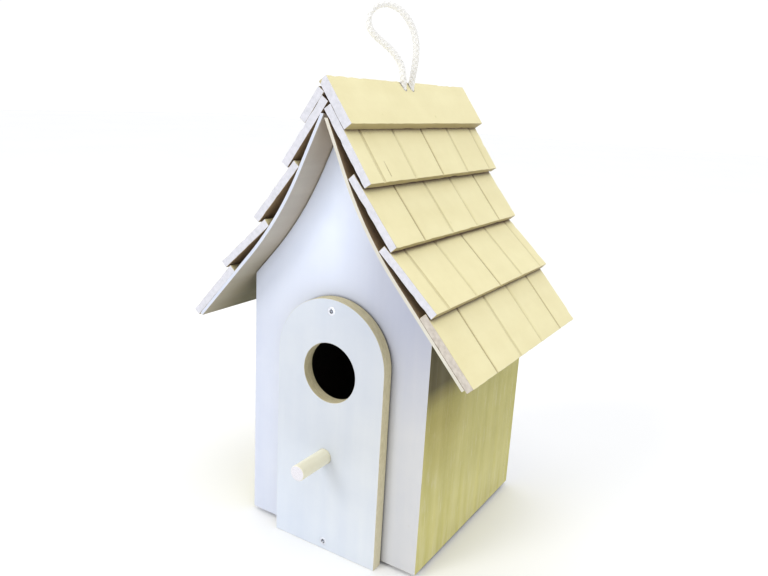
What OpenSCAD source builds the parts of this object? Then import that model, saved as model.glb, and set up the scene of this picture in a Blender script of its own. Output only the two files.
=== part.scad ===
// Gabled birdhouse with a swooping shingled roof, a screwed-on clean-out plate and a rope loop.
// Millimetres. +Z up, -Y is the front, the origin is the centre of the underside.

/* [House] */
// Width of the house across the front
body_w = 130; // [124:1:136]
// Depth of the house from front face to back face
body_d = 143; // [138:1:150]
// Thickness of the front, back, side and floor boards
wall_t = 8; // [7:0.5:9]

/* [Roof sheets] */
// Height where the outer faces of the two roof slopes would meet
ridge_h = 276; // [274:1:278]
// Slope beside the ridge, in degrees
steep_angle = 65; // [64:0.5:66]
// Slope at the eaves, in degrees
eave_angle = 48; // [46:0.5:50]
// Length of the straight steep stretch below the ridge
steep_len = 39; // [36:1:42]
// Radius of the swoop between the two slopes
swoop_r = 218; // [210:1:225]
// Length of the straight stretch that ends at the eave
eave_len = 66.5; // [60:0.5:70]
// Thickness of the bent sheet that carries the shingle boards
sheet_t = 2; // [1.5:0.5:2.5]
// Overhang of the roof in front of the house
front_overhang = 21; // [15:1:25]
// How far the left slope sits up towards the ridge
left_shift = 4; // [3:0.5:4.5]

/* [Shingle boards] */
// Width of a shingle board, measured down the slope
shingle_w = 46.5; // [44:0.5:47]
// Thickness of the shingle boards and ridge caps
shingle_t = 5; // [4.5:0.5:5]
// Distance of each board's upper edge from the ridge, top board first
row_starts = [4, 41.5, 84, 126]; // [0:0.5:130]
// Slope of each board, top board first
row_slopes = [54.5, 50.5, 42, 48]; // [40:0.5:60]
// How far the right top board runs on towards the ridge
top_lap = 2.4; // [0:0.1:2.5]
// Distance between the grooves cut in a board
groove_pitch = 34.5; // [30:0.5:38]
// Width of a groove
groove_w = 2.2; // [1.5:0.1:3]
// Width of the right ridge cap down the slope
right_cap_w = 30; // [28:0.5:32]
// Thickness of the right ridge cap
right_cap_t = 5.8; // [5:0.1:5.8]
// Slope of the right ridge cap, in degrees
right_cap_slope = 53.7; // [53.5:0.1:54]
// Width of the left ridge cap down the slope
left_cap_w = 21.5; // [19:0.5:22]
// How far the left ridge cap stands past the left top board
left_cap_lap = 2.4; // [2:0.1:2.4]

/* [Clean-out plate] */
// Width of the arched plate
plate_w = 78; // [74:1:82]
// How far the plate sits to the right of the middle
plate_x = 1.4; // [0:0.1:1.5]
// Height of the top of the arch
plate_top = 165.5; // [164:0.5:167]
// How far the plate hangs below the house
plate_drop = 2.5; // [1:0.5:3]
// Thickness of the plate
plate_t = 8; // [7:0.5:8]
// Gap between the plate and the front panel
plate_gap = 0.8; // [0.4:0.1:1]
// Radius of the entrance hole
hole_r = 19; // [16:0.5:20]
// Height of the middle of the entrance hole
hole_z = 119; // [117:1:121]
// Width of the clean-out opening behind the plate
cleanout_w = 54; // [46:1:56]
// Height of the bottom edge of the clean-out opening
cleanout_z = 16; // [14:1:24]
// Diameter of the perch dowel
perch_d = 10; // [8:0.5:12]
// How far the perch sits to the right of the middle
perch_x = 0; // [-2:0.1:2]
// Height of the perch
perch_z = 63; // [55:1:75]
// How far the perch stands out of the plate
perch_out = 27; // [20:1:35]

/* [Fasteners] */
// Heights of the two plate screws
screw_z = [3, 158]; // [3:1:160]
// Length and width of a slot of the cross in a screw's head
cross_size = [2.8, 0.7]; // [0.6:0.1:3]
// Depth of the cross
cross_depth = 1; // [0.5:0.1:1.2]
// Diameter of a screw's shank
screw_d = 3; // [2.5:0.5:3]
// Diameter of a screw's countersunk head
screw_head_d = 5.6; // [5:0.1:6]
// Length of a screw
screw_len = 14; // [13:0.5:15.5]
// Diameter of the screw holes in the front panel
screw_bore_d = 3.14; // [3.1:0.02:3.4]
// Diameter of the brads in the walls, floor and roof
brad_d = 1.4; // [1.2:0.2:1.6]
// Length of a brad
brad_len = 20; // [16:1:22]

/* [Rope] */
// Diameter of the rope
rope_d = 4.5; // [4:0.1:5]

/* [Hidden] */
$fn = 64;

white = [0.93, 0.93, 0.96];
butter = [0.90, 0.87, 0.68];
khaki = [0.76, 0.74, 0.54];
bare_wood = [0.86, 0.82, 0.66];
steel = [0.75, 0.76, 0.78];

seat = 0.05; // clearance where curved boards bed on each other
panel_seat = 0.6; // clearance between the roof sheets and the edges of the front and back panels
front_y = -body_d / 2;
back_y = body_d / 2;
roof_y = front_y - front_overhang;
roof_len = body_d + front_overhang;
inner_w = body_w - 2 * wall_t;
inner_d = body_d - 2 * wall_t;
panel_mid_y = back_y - wall_t / 2;
plate_y = front_y - plate_gap; // back face of the plate
plate_front_y = plate_y - plate_t;
left_sheet_top = ridge_h - 4; // the upper ends of the sheets are planed flat here
right_sheet_top = ridge_h - 6.3;
brad_sink = 1; // depth of the brad heads below the paint
wall_brad_z = [25, 80, 135];
floor_brad_y = [-40, 0, 40];
roof_brad_s = [50, 80, 112]; // distances from the ridge down the sheet
arc_len = swoop_r * (steep_angle - eave_angle) * PI / 180;
swoop_fn = 360;

// Unit vectors down a slope and out of it, in the XZ plane of the right slope
function down(a) = [cos(a), -sin(a)];
function out(a) = [sin(a), cos(a)];

steep_end = [0, ridge_h] + steep_len * down(steep_angle);
swoop_centre = steep_end + swoop_r * out(steep_angle);
eave_start = swoop_centre - swoop_r * out(eave_angle);

// The slope and the point at distance s from the ridge along the outer face of a sheet
function roof_angle(s) = s < steep_len ? steep_angle
    : s > steep_len + arc_len ? eave_angle
    : steep_angle - (s - steep_len) / swoop_r * 180 / PI;
function roof_point(s) = s < steep_len ? [0, ridge_h] + s * down(steep_angle)
    : s > steep_len + arc_len ? eave_start + (s - steep_len - arc_len) * down(eave_angle)
    : swoop_centre - swoop_r * out(roof_angle(s));

// Where each board starts: its upper inner corner, in the XZ plane of its own slope
row_corner = [for (s = row_starts) roof_point(s) + seat * out(roof_angle(s))];
row_corner_left = [for (s = row_starts) roof_point(s - left_shift) + seat * out(roof_angle(s - left_shift))];
right_top_corner = row_corner[0] - top_lap * down(row_slopes[0]);
left_top_corner = [-2.7, 278.5]; // the left top board laps over the ridge
left_cap_corner = left_top_corner + (shingle_t + seat) * out(row_slopes[0])
    - left_cap_lap * down(row_slopes[0]);
right_cap_edge = [18.73, 267.74]; // lower edge of the right cap's outer face
right_cap_corner = right_cap_edge - right_cap_t * out(right_cap_slope) - right_cap_w * down(right_cap_slope);

// Grooves: odd rows start with a short shingle, even rows with a long one
groove_first = [14.5, 31.5, 14.5, 31.5];
last_shingle = 8; // least width of the shingle at the back end
function groove_places(row) = [for (y = [groove_first[row] : groove_pitch : roof_len - last_shingle]) y];

// Rope
rope_x = 2.6;
rope_y = [-14.5, -5.5];
rope_hole_d = rope_d + 0.5;
knot_r = 4.3;
knot_z = 254;
knot_flat = 0.6;
rope_bore_z = 240; // the bores run up from here, through the sheet, the boards and the cap
rope_bore_h = 60;
rope_sides = 10;
rope_steps = 2;
rope_route = [
    [2.6, -14.5, knot_z + knot_r - knot_flat],
    [2.6, -14.5, 266], [2.6, -14.5, 275], [2.6, -14.5, 283], [2.6, -14.5, 289],
    [2.2, -14.7, 295], [1, -15.4, 301], [-1.2, -17.6, 306], [-3.8, -21.4, 310.4],
    [-6.6, -25.6, 313.8], [-9.2, -29.6, 317], [-11.4, -33, 320.8], [-12.2, -34.8, 325.6],
    [-11.4, -34, 330.4], [-9.4, -31, 334], [-6.8, -26.8, 335.8], [-4, -22, 335.6],
    [-1.2, -17.4, 333.6], [1.2, -13.4, 330], [3.2, -10.2, 325.6], [4.4, -7.8, 320.6],
    [5.2, -6.4, 315], [5.2, -5.7, 309], [4.8, -5.4, 303], [4, -5.4, 297],
    [3.1, -5.5, 291], [2.6, -5.5, 284], [2.6, -5.5, 275], [2.6, -5.5, 266],
    [2.6, -5.5, knot_z + knot_r - knot_flat]];

// Draws a flat XZ outline as a board between two Y values
module along_y(y0, y1) {
    translate([0, y1, 0]) rotate([90, 0, 0]) linear_extrude(y1 - y0) children();
}

module on_left() {
    mirror([1, 0, 0]) children();
}

// Everything under the right slope, the given distance inside the sheet's outer face
module below_slope(inside) {
    apex = [0, ridge_h - inside / cos(steep_angle)];
    low_tangent = eave_start - inside * out(eave_angle);
    eave = low_tangent + 100 * down(eave_angle);
    difference() {
        polygon([[0, 0], apex, steep_end - inside * out(steep_angle), low_tangent, eave, [eave.x, 0]]);
        translate(swoop_centre) circle(r = swoop_r + inside, $fn = swoop_fn);
    }
}

// Outline of the front and back panels
module gable() {
    intersection() {
        union() {
            below_slope(sheet_t + panel_seat);
            mirror([1, 0]) below_slope(sheet_t + panel_seat);
        }
        translate([-body_w / 2, 0]) square([body_w, ridge_h]);
    }
}

// A brad of full length whose head is at the origin and whose point is along +Z
module brad() {
    cylinder(h = brad_len, d = brad_d, $fn = 24);
}

// Brads that hold the panels to the side walls, sunk below the paint
module wall_brad_set() {
    for (side = [-1, 1], z = wall_brad_z) {
        translate([side * (body_w - wall_t) / 2, front_y + brad_sink, z]) rotate([-90, 0, 0]) brad();
        translate([side * (body_w - wall_t) / 2, back_y - brad_sink, z]) rotate([90, 0, 0]) brad();
    }
}

// Brads that hold the floor between the side walls
module floor_brad_set() {
    for (side = [-1, 1], y = floor_brad_y)
        translate([side * (body_w / 2 - brad_sink), y, wall_t / 2]) rotate([0, -side * 90, 0]) brad();
}

// Brads through one slope's sheet into the edges of the front and back panels
module slope_brad_set() {
    for (s = roof_brad_s, y = [-panel_mid_y, panel_mid_y]) {
        at = roof_point(s);
        translate([at.x, y, at.y]) rotate([0, 180 + roof_angle(s), 0]) brad();
    }
}

module roof_brad_set() {
    slope_brad_set();
    on_left() slope_brad_set();
}

// One countersunk cross-head screw, head at the origin, point along +Y
module screw(cross = true) {
    head_h = (screw_head_d - screw_d) / 2;
    tip_h = 2;
    difference() {
        rotate([-90, 0, 0]) rotate_extrude($fn = 48)
            polygon([[0, 0], [screw_head_d / 2, 0], [screw_d / 2, head_h],
                [screw_d / 2, screw_len - tip_h], [0, screw_len]]);
        if (cross)
            for (turn = [0, 90])
                rotate([0, turn, 0]) translate([-cross_size.x / 2, -cross_depth, -cross_size.y / 2])
                    cube([cross_size.x, 2 * cross_depth, cross_size.y]);
    }
}

module screws(cross = true) {
    for (z = screw_z) translate([plate_x, plate_front_y, z]) screw(cross);
}

module screw_bores() {
    for (z = screw_z)
        translate([plate_x, front_y - 1, z]) rotate([-90, 0, 0]) cylinder(h = wall_t + 2, d = screw_bore_d);
}

module rope_bores() {
    for (y = rope_y) translate([rope_x, y, rope_bore_z]) cylinder(h = rope_bore_h, d = rope_hole_d);
}

module front_panel() {
    color(white) difference() {
        along_y(front_y, front_y + wall_t) difference() {
            gable();
            translate([-cleanout_w / 2, cleanout_z]) square([cleanout_w, hole_z - cleanout_z]);
            translate([0, hole_z]) circle(d = cleanout_w);
        }
        screw_bores();
        wall_brad_set();
        roof_brad_set();
    }
}

module back_panel() {
    color(white) difference() {
        along_y(back_y - wall_t, back_y) gable();
        wall_brad_set();
        roof_brad_set();
    }
}

module right_side() {
    color(khaki) difference() {
        along_y(-inner_d / 2, inner_d / 2) intersection() {
            below_slope(sheet_t + seat);
            translate([inner_w / 2, 0]) square([wall_t, ridge_h]);
        }
        wall_brad_set();
        floor_brad_set();
    }
}

module left_side() {
    on_left() right_side();
}

module floor_board() {
    color(bare_wood) difference() {
        translate([-inner_w / 2, -inner_d / 2, 0]) cube([inner_w, inner_d, wall_t]);
        floor_brad_set();
    }
}

// One bent roof sheet on the right slope; its eave is cut square to the slope
module roof_sheet(straight, top) {
    eave = eave_start + straight * down(eave_angle);
    color(white) difference() {
        along_y(roof_y, back_y) intersection() {
            difference() {
                below_slope(0);
                below_slope(sheet_t);
            }
            polygon([[0, 0], [0, top], [eave.x + 60, top],
                eave + 60 * out(eave_angle), eave - 20 * out(eave_angle)]);
        }
        slope_brad_set();
    }
}

module roof_sheet_right() {
    color(white) difference() {
        roof_sheet(eave_len, right_sheet_top);
        rope_bores();
    }
}

module roof_sheet_left() {
    on_left() roof_sheet(eave_len - left_shift, left_sheet_top);
}

// A flat board on the right slope from its upper inner corner, with grooves down its face
module board(corner, slope, w, grooves = [], t = shingle_t) {
    groove = groove_w / sqrt(2);
    translate([corner.x, roof_y, corner.y]) rotate([0, slope, 0]) difference() {
        cube([w, roof_len, t]);
        for (y = grooves)
            translate([-1, y, t]) rotate([45, 0, 0])
                translate([0, -groove / 2, -groove / 2]) cube([w + 2, groove, groove]);
    }
}

module shingle(corner, row, w = shingle_w) {
    color(butter) board(corner, row_slopes[row], w, groove_places(row));
}

module shingle_right_1() {
    difference() {
        shingle(right_top_corner, 0, shingle_w + top_lap);
        color(butter) rope_bores();
    }
}

module shingle_right_2() {
    shingle(row_corner[1], 1);
}

module shingle_right_3() {
    shingle(row_corner[2], 2);
}

module shingle_right_4() {
    shingle(row_corner[3], 3);
}

module shingle_left_1() {
    difference() {
        on_left() shingle(left_top_corner, 0);
        color(butter) rope_bores();
    }
}

module shingle_left_2() {
    on_left() shingle(row_corner_left[1], 1);
}

module shingle_left_3() {
    on_left() shingle(row_corner_left[2], 2);
}

module shingle_left_4() {
    on_left() shingle(row_corner_left[3], 3);
}

module ridge_cap_left() {
    color(butter) on_left() board(left_cap_corner, row_slopes[0], left_cap_w);
}

module ridge_cap_right() {
    color(butter) difference() {
        board(right_cap_corner, right_cap_slope, right_cap_w, t = right_cap_t);
        rope_bores();
    }
}

// The arched plate that covers the clean-out opening and carries the entrance hole
module front_plate() {
    arch_z = plate_top - plate_w / 2;
    color(white) difference() {
        along_y(plate_front_y, plate_y) union() {
            translate([plate_x - plate_w / 2, -plate_drop]) square([plate_w, arch_z + plate_drop]);
            translate([plate_x, arch_z]) circle(d = plate_w, $fn = 180);
        }
        translate([plate_x, plate_y + 1, hole_z]) rotate([90, 0, 0])
            cylinder(h = plate_t + 2, r = hole_r, $fn = 120);
        translate([perch_x, plate_y + 1, perch_z]) rotate([90, 0, 0])
            cylinder(h = plate_t + 2, d = perch_d);
        screws(cross = false);
    }
}

module perch() {
    color(bare_wood) translate([perch_x, plate_y, perch_z]) rotate([90, 0, 0])
        cylinder(h = plate_t + perch_out, d = perch_d);
}

module plate_screws() {
    color(steel) screws();
}

module wall_brads() {
    color(steel) wall_brad_set();
}

module floor_brads() {
    color(steel) floor_brad_set();
}

module roof_brads() {
    color(steel) roof_brad_set();
}

// A smooth curve through the route: the point a share t of the way from point i to the next
function spline(p, i, t) =
    let (
        last = len(p) - 1,
        a = p[max(i - 1, 0)],
        b = p[i],
        c = p[min(i + 1, last)],
        d = p[min(i + 2, last)]
    )
    0.5 * (2 * b + (c - a) * t + (2 * a - 5 * b + 4 * c - d) * t ^ 2 + (3 * b - a - 3 * c + d) * t ^ 3);

rope_line = [
    for (i = [0 : len(rope_route) - 2], k = [0 : rope_steps - 1]) spline(rope_route, i, k / rope_steps),
    rope_route[len(rope_route) - 1]];

function unit(v) = v / norm(v);
function heading(p, i) = unit(p[min(i + 1, len(p) - 1)] - p[max(i - 1, 0)]);
function ring(p, i, r) =
    let (
        along = heading(p, i),
        across = unit(cross(along, [1, -0.5, 0])),
        third = cross(along, across)
    )
    [for (k = [0 : rope_sides - 1])
        let (a = 360 * k / rope_sides) p[i] + r * (cos(a) * across + sin(a) * third)];

module rope_loop() {
    rings = len(rope_line);
    points = [for (i = [0 : rings - 1]) each ring(rope_line, i, rope_d / 2)];
    start_cap = [for (k = [0 : rope_sides - 1]) k];
    end_cap = [for (k = [rope_sides - 1 : -1 : 0]) (rings - 1) * rope_sides + k];
    wall = [for (i = [0 : rings - 2], k = [0 : rope_sides - 1])
        let (n = (k + 1) % rope_sides)
        [i * rope_sides + k, (i + 1) * rope_sides + k, (i + 1) * rope_sides + n, i * rope_sides + n]];
    color(white) polyhedron(points, concat([start_cap], wall, [end_cap]));
}

// The knots inside the roof that the two ends of the loop hang on
module rope_knots() {
    color(white) for (y = rope_y) translate([rope_x, y, knot_z]) difference() {
        sphere(r = knot_r);
        translate([-knot_r, -knot_r, knot_r - knot_flat]) cube(2 * knot_r);
    }
}

front_panel();
back_panel();
left_side();
right_side();
floor_board();
roof_sheet_left();
roof_sheet_right();
shingle_left_1();
shingle_left_2();
shingle_left_3();
shingle_left_4();
shingle_right_1();
shingle_right_2();
shingle_right_3();
shingle_right_4();
ridge_cap_left();
ridge_cap_right();
front_plate();
perch();
plate_screws();
wall_brads();
floor_brads();
roof_brads();
rope_loop();
rope_knots();
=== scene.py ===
import math

import bmesh
import bpy
from mathutils import Matrix, Vector, noise


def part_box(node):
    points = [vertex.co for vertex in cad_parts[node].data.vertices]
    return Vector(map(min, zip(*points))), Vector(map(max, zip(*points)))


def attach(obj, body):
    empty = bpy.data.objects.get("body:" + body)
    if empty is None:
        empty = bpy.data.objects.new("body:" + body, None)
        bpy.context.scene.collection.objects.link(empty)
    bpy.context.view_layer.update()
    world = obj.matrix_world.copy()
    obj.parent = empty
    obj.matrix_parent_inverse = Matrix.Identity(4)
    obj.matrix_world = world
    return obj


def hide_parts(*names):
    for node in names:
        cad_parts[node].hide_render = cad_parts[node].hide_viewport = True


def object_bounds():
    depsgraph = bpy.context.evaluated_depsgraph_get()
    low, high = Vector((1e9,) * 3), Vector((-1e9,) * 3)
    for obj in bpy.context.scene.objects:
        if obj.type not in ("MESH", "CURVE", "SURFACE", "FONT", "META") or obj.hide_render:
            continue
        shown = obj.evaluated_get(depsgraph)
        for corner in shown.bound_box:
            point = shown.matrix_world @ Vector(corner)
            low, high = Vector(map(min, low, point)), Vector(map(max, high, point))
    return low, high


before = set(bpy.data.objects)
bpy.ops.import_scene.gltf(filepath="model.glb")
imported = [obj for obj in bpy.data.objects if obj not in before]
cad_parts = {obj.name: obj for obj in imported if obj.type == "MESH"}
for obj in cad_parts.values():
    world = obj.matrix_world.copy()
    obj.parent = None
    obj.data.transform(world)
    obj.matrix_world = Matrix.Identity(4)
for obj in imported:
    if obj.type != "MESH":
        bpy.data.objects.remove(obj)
cadLow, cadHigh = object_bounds()
mm = 0.001
print("frame loaded with", len(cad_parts), "nodes")

# Camera: in front and to the right, just under the height of the ridge, looking down a little
cameraSettings = {
    "place": (0.2398, -0.4135, 0.2822),
    "aim": (-0.0034, -0.0141, 0.1586),
    "roll": 3.21,
    "lens": 33.83,
    "sensor": 36,
}


def makeCamera(settings):
    data = bpy.data.cameras.new("camera")
    data.lens = settings["lens"]
    data.sensor_width = settings["sensor"]
    data.clip_start, data.clip_end = 0.02, 50
    made = bpy.data.objects.new("camera", data)
    bpy.context.scene.collection.objects.link(made)
    place = Vector(settings["place"])
    looking = (Vector(settings["aim"]) - place).to_track_quat("-Z", "Y").to_matrix().to_4x4()
    made.matrix_world = (
        Matrix.Translation(place) @ looking @ Matrix.Rotation(math.radians(settings["roll"]), 4, "Z")
    )
    bpy.context.scene.camera = made


makeCamera(cameraSettings)
print("camera placed")


# Mesh helpers
def newPiece(name, bm, body, stoodFor=(), sharpAngle=35, weighted=True):
    mesh = bpy.data.meshes.new(name)
    bm.to_mesh(mesh)
    bm.free()
    mesh.shade_smooth()
    mesh.set_sharp_from_angle(angle=math.radians(sharpAngle))
    piece = bpy.data.objects.new(name, mesh)
    bpy.context.scene.collection.objects.link(piece)
    if weighted:
        normals = piece.modifiers.new("flatter faces", "WEIGHTED_NORMAL")
        normals.keep_sharp = True
        normals.weight = 60
    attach(piece, body)
    if stoodFor:
        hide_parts(*stoodFor)
    return piece


def nodeCopy(node):
    bm = bmesh.new()
    bm.from_mesh(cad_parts[node].data)
    bmesh.ops.remove_doubles(bm, verts=bm.verts, dist=0.002 * mm)
    bmesh.ops.dissolve_limit(
        bm, angle_limit=math.radians(0.4), use_dissolve_boundaries=False,
        verts=bm.verts, edges=bm.edges, delimit=set(),
    )
    return bm


def easeEdges(bm, width, segments, edges):
    bmesh.ops.bevel(
        bm, geom=edges, offset=width, offset_type="OFFSET", affect="EDGES", segments=segments,
        profile=0.5, material=-1, clamp_overlap=True, miter_outer="ARC",
    )


def sharpEdges(bm, fromAngle=50):
    return [
        e for e in bm.edges
        if e.is_manifold and e.is_convex and e.calc_face_angle(0) > math.radians(fromAngle)
    ]


def paintFaces(piece, materials, rules):
    # rules: (material number, direction, least cosine); the first rule that fits a face counts
    for m in materials:
        piece.data.materials.append(m)
    for face in piece.data.polygons:
        for number, direction, least in rules:
            if face.normal.dot(Vector(direction).normalized()) > least:
                face.material_index = number
                break


def smoothLine(points, parts):
    # Catmull-Rom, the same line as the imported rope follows
    pts = [Vector(p) for p in points]
    line = []
    for i in range(len(pts) - 1):
        a, b, c, d = pts[max(i - 1, 0)], pts[i], pts[i + 1], pts[min(i + 2, len(pts) - 1)]
        for k in range(parts):
            t = k / parts
            line.append(0.5 * (
                2 * b + (c - a) * t + (2 * a - 5 * b + 4 * c - d) * t * t + (3 * b - a - 3 * c + d) * t ** 3
            ))
    line.append(pts[-1])
    return line


def lineLength(line):
    return sum((b - a).length for a, b in zip(line, line[1:]))


def evenLine(line, step):
    total = lineLength(line)
    count = max(2, round(total / step))
    out, i, gone = [line[0]], 0, 0.0
    for k in range(1, count):
        want = total * k / count
        while gone + (line[i + 1] - line[i]).length < want:
            gone += (line[i + 1] - line[i]).length
            i += 1
        share = (want - gone) / (line[i + 1] - line[i]).length
        out.append(line[i].lerp(line[i + 1], share))
    out.append(line[-1])
    return out


def carriedFrames(line, start=(1, -0.5, 0)):
    # Two directions across the line at each point, carried along it without twist
    side, frames = Vector(start), []
    for i in range(len(line)):
        along = (line[min(i + 1, len(line) - 1)] - line[max(i - 1, 0)]).normalized()
        side = (side - along * side.dot(along)).normalized()
        frames.append((side, along.cross(side)))
    return frames


def strandMesh(name, lines, radii, sides=2):
    # One mesh of round strands, each along its own line
    curve = bpy.data.curves.new(name, "CURVE")
    curve.dimensions = "3D"
    curve.bevel_depth = 1
    curve.bevel_resolution = sides
    curve.use_fill_caps = True
    for line, radius in zip(lines, radii):
        spline = curve.splines.new("POLY")
        spline.points.add(len(line) - 1)
        for point, at in zip(spline.points, line):
            point.co = (*at, 1)
            point.radius = radius
    holder = bpy.data.objects.new(name, curve)
    mesh = bpy.data.meshes.new_from_object(holder)
    bm = bmesh.new()
    bm.from_mesh(mesh)
    bpy.data.objects.remove(holder)
    bpy.data.curves.remove(curve)
    bpy.data.meshes.remove(mesh)
    bmesh.ops.remove_doubles(bm, verts=bm.verts, dist=0.002 * mm)
    return bm


# Rope loop: a white braided cord whose two ends are knotted under the ridge
rope = {
    "diameter": 4.5 * mm,
    "strandPairs": 4,
    "lay": 13.5 * mm,
    "middleRadius": 1.4 * mm,
    "weave": 0.13 * mm,
    "strandRadius": 0.71 * mm,
    "coreRadius": 1.88 * mm,
    "step": 0.45 * mm,
    "smoothing": 8,
    "knotHeight": 254 * mm,
    "knotWidth": 0.78 * mm,
    "knotRise": 1.9 * mm,
    "knotStrand": 1.7 * mm,
    "knotSteps": 96,
}
# The rope's route from knot to knot, in millimetres
ropeRoute = [
    (2.6, -14.5, 257.7), (2.6, -14.5, 266), (2.6, -14.5, 275), (2.6, -14.5, 283), (2.6, -14.5, 289),
    (2.2, -14.7, 295), (1, -15.4, 301), (-1.2, -17.6, 306), (-3.8, -21.4, 310.4), (-6.6, -25.6, 313.8),
    (-9.2, -29.6, 317), (-11.4, -33, 320.8), (-12.2, -34.8, 325.6), (-11.4, -34, 330.4),
    (-9.4, -31, 334), (-6.8, -26.8, 335.8), (-4, -22, 335.6), (-1.2, -17.4, 333.6),
    (1.2, -13.4, 330), (3.2, -10.2, 325.6), (4.4, -7.8, 320.6), (5.2, -6.4, 315),
    (5.2, -5.7, 309), (4.8, -5.4, 303), (4, -5.4, 297), (3.1, -5.5, 291),
    (2.6, -5.5, 284), (2.6, -5.5, 275), (2.6, -5.5, 266), (2.6, -5.5, 257.7),
]


def makeRope(r, route):
    middle = evenLine(smoothLine([Vector(p) * mm for p in route], r["smoothing"]), r["step"])
    frames = carriedFrames(middle)
    strands = []
    for way in (1, -1):
        for k in range(r["strandPairs"]):
            strand = []
            for i, (at, (side, third)) in enumerate(zip(middle, frames)):
                turn = 2 * math.pi * i * r["step"] / r["lay"]
                around = way * turn + 2 * math.pi * k / r["strandPairs"]
                out = r["middleRadius"] + way * r["weave"] * math.cos(4 * turn)
                strand.append(at + out * (math.cos(around) * side + math.sin(around) * third))
            strands.append(strand)
    radii = [r["strandRadius"]] * len(strands) + [r["coreRadius"]]
    piece = newPiece(
        "rope", strandMesh("rope", strands + [middle], radii), "house", ["rope_loop"],
        sharpAngle=80, weighted=False,
    )
    return piece, middle


def makeKnots(r, ends):
    # Each end is tied in an overhand knot
    lines = []
    for end in ends:
        knot = []
        for i in range(r["knotSteps"] + 1):
            t = 2 * math.pi * i / r["knotSteps"]
            knot.append(Vector((
                end[0] + (math.sin(t) + 2 * math.sin(2 * t)) * r["knotWidth"],
                end[1] + (math.cos(t) - 2 * math.cos(2 * t)) * r["knotWidth"],
                r["knotHeight"] - math.sin(3 * t) * r["knotRise"],
            )))
        lines.append(knot)
    bm = strandMesh("ropeKnots", lines, [r["knotStrand"]] * len(lines), 3)
    return newPiece("ropeKnots", bm, "house", ["rope_knots"], sharpAngle=80, weighted=False)


ropePiece, ropeLine = makeRope(rope, ropeRoute)
knotPiece = makeKnots(rope, [Vector(ropeRoute[0]) * mm, Vector(ropeRoute[-1]) * mm])
print("rope laid,", round(lineLength(ropeLine), 4), "m")


# Shader helpers
def addNode(tree, kind, options=(), **inputs):
    node = tree.nodes.new(kind)
    for key, value in dict(options).items():
        setattr(node, key, value)
    for key, value in inputs.items():
        socket = node.inputs[int(key[1:])] if key[0] == "i" and key[1:].isdigit() else node.inputs[key]
        if isinstance(value, bpy.types.NodeSocket):
            tree.links.new(value, socket)
        else:
            socket.default_value = value
    return node


def calc(tree, operation, a, b=0.0, clamp=False):
    options = {"operation": operation, "use_clamp": clamp}
    return addNode(tree, "ShaderNodeMath", options, i0=a, i1=b).outputs[0]


def summed(tree, *parts):
    # Values added up, each with its own weight
    total = None
    for value, weight in parts:
        part = calc(tree, "MULTIPLY", value, weight)
        total = part if total is None else calc(tree, "ADD", total, part)
    return total


def objectPlace(tree):
    return addNode(tree, "ShaderNodeTexCoord").outputs["Object"]


def axesOf(tree, vector):
    return addNode(tree, "ShaderNodeSeparateXYZ", Vector=vector).outputs


def blendColour(tree, share, a, b):
    node = tree.nodes.new("ShaderNodeMix")
    node.data_type = "RGBA"
    for socket, value in ((node.inputs[0], share), (node.inputs[6], a), (node.inputs[7], b)):
        if isinstance(value, bpy.types.NodeSocket):
            tree.links.new(value, socket)
        else:
            socket.default_value = value if isinstance(value, float) else (*value, 1)
    return node.outputs[2]


def tinted(tree, share, colour, tint):
    options = {"data_type": "RGBA", "blend_type": "MULTIPLY"}
    node = addNode(tree, "ShaderNodeMix", options, i0=share, i6=colour)
    if isinstance(tint, tuple):
        node.inputs[7].default_value = (*tint, 1)
    else:
        tree.links.new(tint, node.inputs[7])
    return node.outputs[2]


def between(tree, value, low, high, toLow=0.0, toHigh=1.0):
    node = addNode(tree, "ShaderNodeMapRange", {"clamp": True}, Value=value)
    for key, number in zip(("From Min", "From Max", "To Min", "To Max"), (low, high, toLow, toHigh)):
        node.inputs[key].default_value = number
    return node.outputs[0]


def makeGroup(name, inputs, outputs):
    tree = bpy.data.node_groups.new(name, "ShaderNodeTree")
    for label, kind, value in inputs:
        socket = tree.interface.new_socket(label, in_out="INPUT", socket_type=kind)
        if value is not None:
            socket.default_value = value
    for label, kind in outputs:
        tree.interface.new_socket(label, in_out="OUTPUT", socket_type=kind)
    return tree, tree.nodes.new("NodeGroupInput"), tree.nodes.new("NodeGroupOutput")


def scaled(tree, vector, scale):
    return addNode(tree, "ShaderNodeVectorMath", {"operation": "MULTIPLY"}, i0=vector, i1=scale).outputs[0]


def dotOf(tree, a, b):
    return addNode(tree, "ShaderNodeVectorMath", {"operation": "DOT_PRODUCT"}, i0=a, i1=b).outputs["Value"]


def noiseOf(tree, vector, scale, detail=3.0, roughness=0.55):
    return addNode(
        tree, "ShaderNodeTexNoise", Vector=vector, Scale=scale, Detail=detail, Roughness=roughness
    ).outputs["Fac"]


def grainGroup():
    # Long fibres and broader streaks that run along the vector's Z
    tree, given, result = makeGroup(
        "wood grain",
        [("Vector", "NodeSocketVector", None), ("Scale", "NodeSocketFloat", 600.0)],
        [("Fibre", "NodeSocketFloat"), ("Streak", "NodeSocketFloat")],
    )
    bend = noiseOf(tree, given.outputs["Vector"], 14.0, 1.0)
    swayed = addNode(
        tree, "ShaderNodeVectorMath", {"operation": "ADD"}, i0=given.outputs["Vector"],
        i1=addNode(tree, "ShaderNodeCombineXYZ", X=calc(tree, "MULTIPLY", bend, 0.004)).outputs[0],
    ).outputs[0]
    fine = noiseOf(tree, scaled(tree, swayed, (1, 1, 0.03)), given.outputs["Scale"], 4.0, 0.65)
    wide = noiseOf(
        tree, scaled(tree, swayed, (1, 1, 0.05)), calc(tree, "MULTIPLY", given.outputs["Scale"], 0.2), 3.0
    )
    tree.links.new(between(tree, fine, 0.3, 0.7), result.inputs["Fibre"])
    tree.links.new(between(tree, wide, 0.32, 0.68), result.inputs["Streak"])
    return tree


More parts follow.
